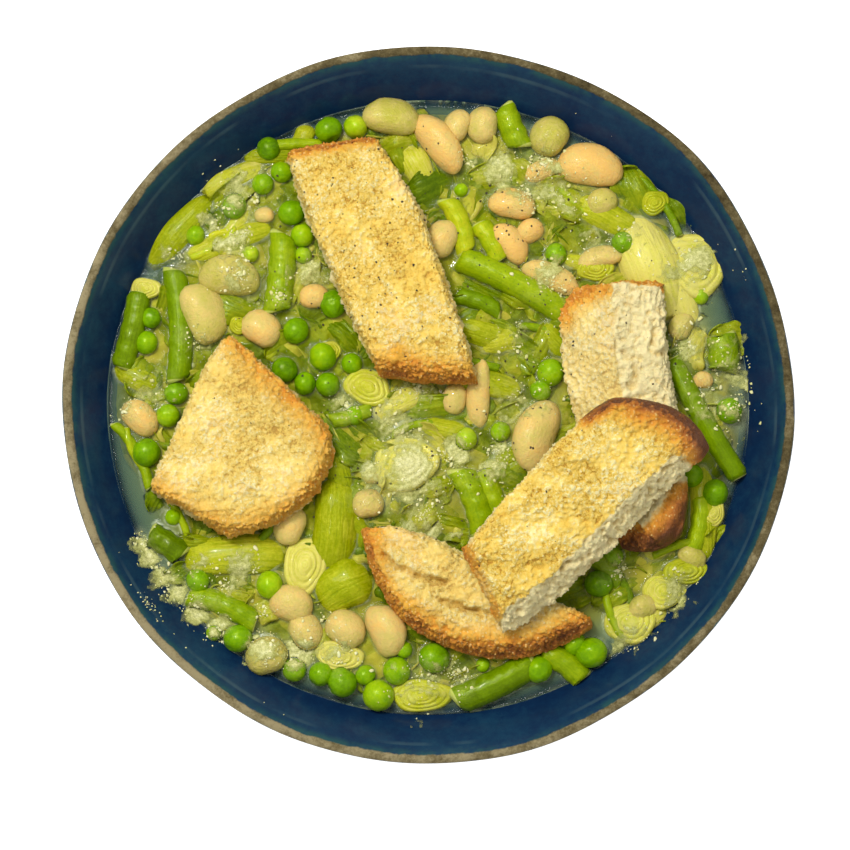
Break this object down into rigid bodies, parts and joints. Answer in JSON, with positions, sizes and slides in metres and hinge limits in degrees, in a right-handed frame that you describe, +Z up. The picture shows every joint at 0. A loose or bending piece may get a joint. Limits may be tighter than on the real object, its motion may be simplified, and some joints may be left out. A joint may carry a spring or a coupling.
{
  "type": "bowl of minestrone",
  "caption": "Wide hand-thrown stoneware bowl of green minestrone with peas, white beans, green beans and leek, topped with strips and half rounds of cheese toast.",
  "frame": {"origin": "centre of the bounding box's base, on the bowl's axis under the foot ring", "axes": "+Z up out of the bowl; +X to the right and +Y to the top of the picture"},
  "size_m": [0.2102, 0.2066, 0.0772],
  "materials": {
    "glazed_stoneware": "glossy mottled dark blue glaze, with a bare grey-brown clay lip and foot",
    "broth": "milky pale green broth with a glossy surface",
    "vegetables": "wet cooked greens, peas, white beans and leek",
    "toast": "dry bread crumb under baked golden grated cheese, with a browned crust"
  },
  "bodies": {
    "root": {"bowl": "glazed_stoneware", "broth": "broth", "vegetables": "vegetables", "toast_top": "toast", "toast_left": "toast", "toast_right": "toast", "toast_low": "toast", "toast_across": "toast"}
  },
  "joints": []
}
